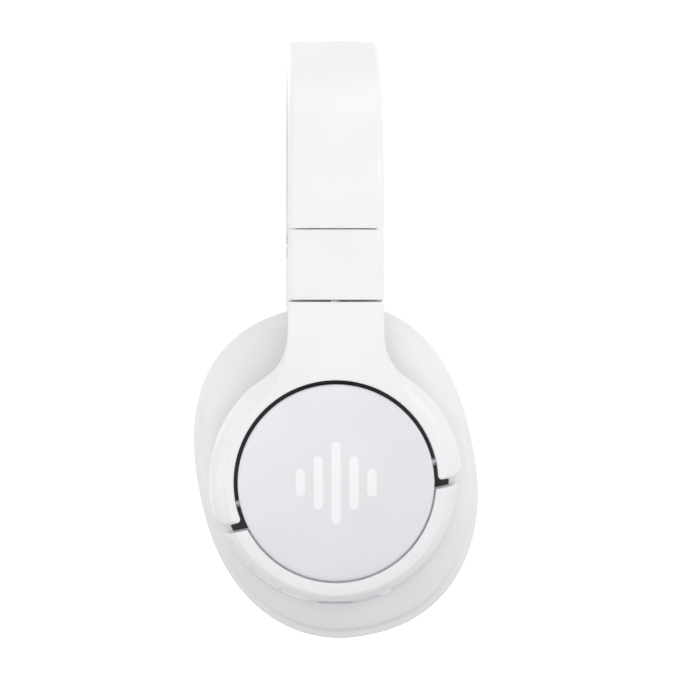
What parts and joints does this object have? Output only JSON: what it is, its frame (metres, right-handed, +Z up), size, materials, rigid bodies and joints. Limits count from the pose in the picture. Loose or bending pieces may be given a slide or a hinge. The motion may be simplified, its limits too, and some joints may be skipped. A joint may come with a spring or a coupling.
{
  "type": "over-ear headphones",
  "caption": "Folding wireless over-ear headphones: padded headband, sliding arms, fold hinges, swivelling forks, tilting oval ear cups with round caps, buttons, charging port and audio socket.",
  "frame": {"origin": "middle of the crown pad's underside, where the headphones rest on the head", "axes": "+Z up, from the cups to the crown, +X towards the wearer's front, +Y towards the wearer's left"},
  "size_m": [0.0845, 0.1674, 0.1828],
  "materials": {
    "shell_white": "satin",
    "cup_white": "satin",
    "liner_white": "matte",
    "pad_leather": "satin",
    "grey_plastic": "matte",
    "grille_cloth": "matte",
    "spring_steel": "satin",
    "driver_metal": "satin",
    "circuit_green": "satin",
    "battery_wrap": "gloss",
    "cable_sleeve": "matte",
    "light_lens": "gloss"
  },
  "bodies": {
    "headband": {"headband_shell": "shell_white", "headband_liner": "liner_white", "headband_pad": "pad_leather", "headband_spring": "spring_steel", "headband_cable": "cable_sleeve", "slider_guide_left": "grey_plastic", "slider_guide_right": "grey_plastic"},
    "slider_left": {"slider_strip_left": "spring_steel"},
    "hinge_left": {"hinge_block_cover_left": "shell_white", "hinge_block_frame_left": "liner_white", "block_screw_left": "spring_steel", "fold_pin_left": "spring_steel", "swivel_post_left": "spring_steel"},
    "fork_left": {"yoke_left": "shell_white", "yoke_cover_left": "liner_white", "pivot_pin_front_left": "spring_steel", "pivot_pin_rear_left": "spring_steel"},
    "cup_left": {"cup_shell_left": "cup_white", "cup_cap_left": "shell_white", "baffle_left": "grey_plastic", "driver_left": "driver_metal", "driver_grille_left": "grille_cloth", "pad_ring_left": "grey_plastic", "ear_pad_left": "pad_leather", "baffle_screw_1_left": "spring_steel", "baffle_screw_2_left": "spring_steel", "baffle_screw_3_left": "spring_steel", "battery": "battery_wrap", "audio_jack": "grey_plastic"},
    "slider_right": {"slider_strip_right": "spring_steel"},
    "hinge_right": {"hinge_block_cover_right": "shell_white", "hinge_block_frame_right": "liner_white", "block_screw_right": "spring_steel", "fold_pin_right": "spring_steel", "swivel_post_right": "spring_steel"},
    "fork_right": {"yoke_right": "shell_white", "yoke_cover_right": "liner_white", "pivot_pin_front_right": "spring_steel", "pivot_pin_rear_right": "spring_steel"},
    "cup_right": {"cup_shell_right": "cup_white", "cup_cap_right": "shell_white", "baffle_right": "grey_plastic", "driver_right": "driver_metal", "driver_grille_right": "grille_cloth", "pad_ring_right": "grey_plastic", "ear_pad_right": "pad_leather", "baffle_screw_1_right": "spring_steel", "baffle_screw_2_right": "spring_steel", "baffle_screw_3_right": "spring_steel", "circuit_board": "circuit_green", "charging_port": "spring_steel", "status_light": "light_lens"},
    "volume_up": {"volume_up_button": "shell_white"},
    "play": {"play_button": "shell_white"},
    "volume_down": {"volume_down_button": "shell_white"},
    "switch": {"power_switch": "shell_white"}
  },
  "joints": [
    {"name": "arm_length_left", "type": "slide", "parent": "headband", "child": "slider_left", "axis": [0, 0.0523, -0.9986], "range_m": [0, 0.018]},
    {"name": "fold_left", "type": "hinge", "parent": "slider_left", "child": "hinge_left", "pos_m": [0, 0.07518, -0.04456], "axis": [1, 0, 0], "range_deg": [-80, 0]},
    {"name": "swivel_left", "type": "hinge", "parent": "hinge_left", "child": "fork_left", "pos_m": [0, 0.07728, -0.06555], "axis": [0, 0.0523, -0.9986], "range_deg": [-8, 90]},
    {"name": "cup_tilt_left", "type": "hinge", "parent": "fork_left", "child": "cup_left", "pos_m": [0, 0.07927, -0.11815], "axis": [0.9781, 0, 0.2079], "range_deg": [-7, 10]},
    {"name": "arm_length_right", "type": "slide", "parent": "headband", "child": "slider_right", "axis": [0, 0.0523, 0.9986], "range_m": [-0.018, 0]},
    {"name": "fold_right", "type": "hinge", "parent": "slider_right", "child": "hinge_right", "pos_m": [0, -0.07518, -0.04456], "axis": [1, 0, 0], "range_deg": [0, 80]},
    {"name": "swivel_right", "type": "hinge", "parent": "hinge_right", "child": "fork_right", "pos_m": [0, -0.07728, -0.06555], "axis": [0, -0.0523, -0.9986], "range_deg": [-90, 8]},
    {"name": "cup_tilt_right", "type": "hinge", "parent": "fork_right", "child": "cup_right", "pos_m": [0, -0.07927, -0.11815], "axis": [0.9781, 0, 0.2079], "range_deg": [-10, 7]},
    {"name": "volume_up_press", "type": "slide", "parent": "cup_right", "child": "volume_up", "axis": [0.7837, 0, 0.6211], "range_m": [0, 0.0004], "stiffness_N_per_m": 600, "springref_m": -0.0004},
    {"name": "play_press", "type": "slide", "parent": "cup_right", "child": "play", "axis": [0.5764, 0, 0.8171], "range_m": [0, 0.0004], "stiffness_N_per_m": 600, "springref_m": -0.0004},
    {"name": "volume_down_press", "type": "slide", "parent": "cup_right", "child": "volume_down", "axis": [0.3355, 0, 0.9421], "range_m": [0, 0.0004], "stiffness_N_per_m": 600, "springref_m": -0.0004},
    {"name": "power_slide", "type": "hinge", "parent": "cup_right", "child": "switch", "pos_m": [0, -0.07927, -0.11815], "axis": [0, -1, 0], "range_deg": [0, 6]}
  ]
}
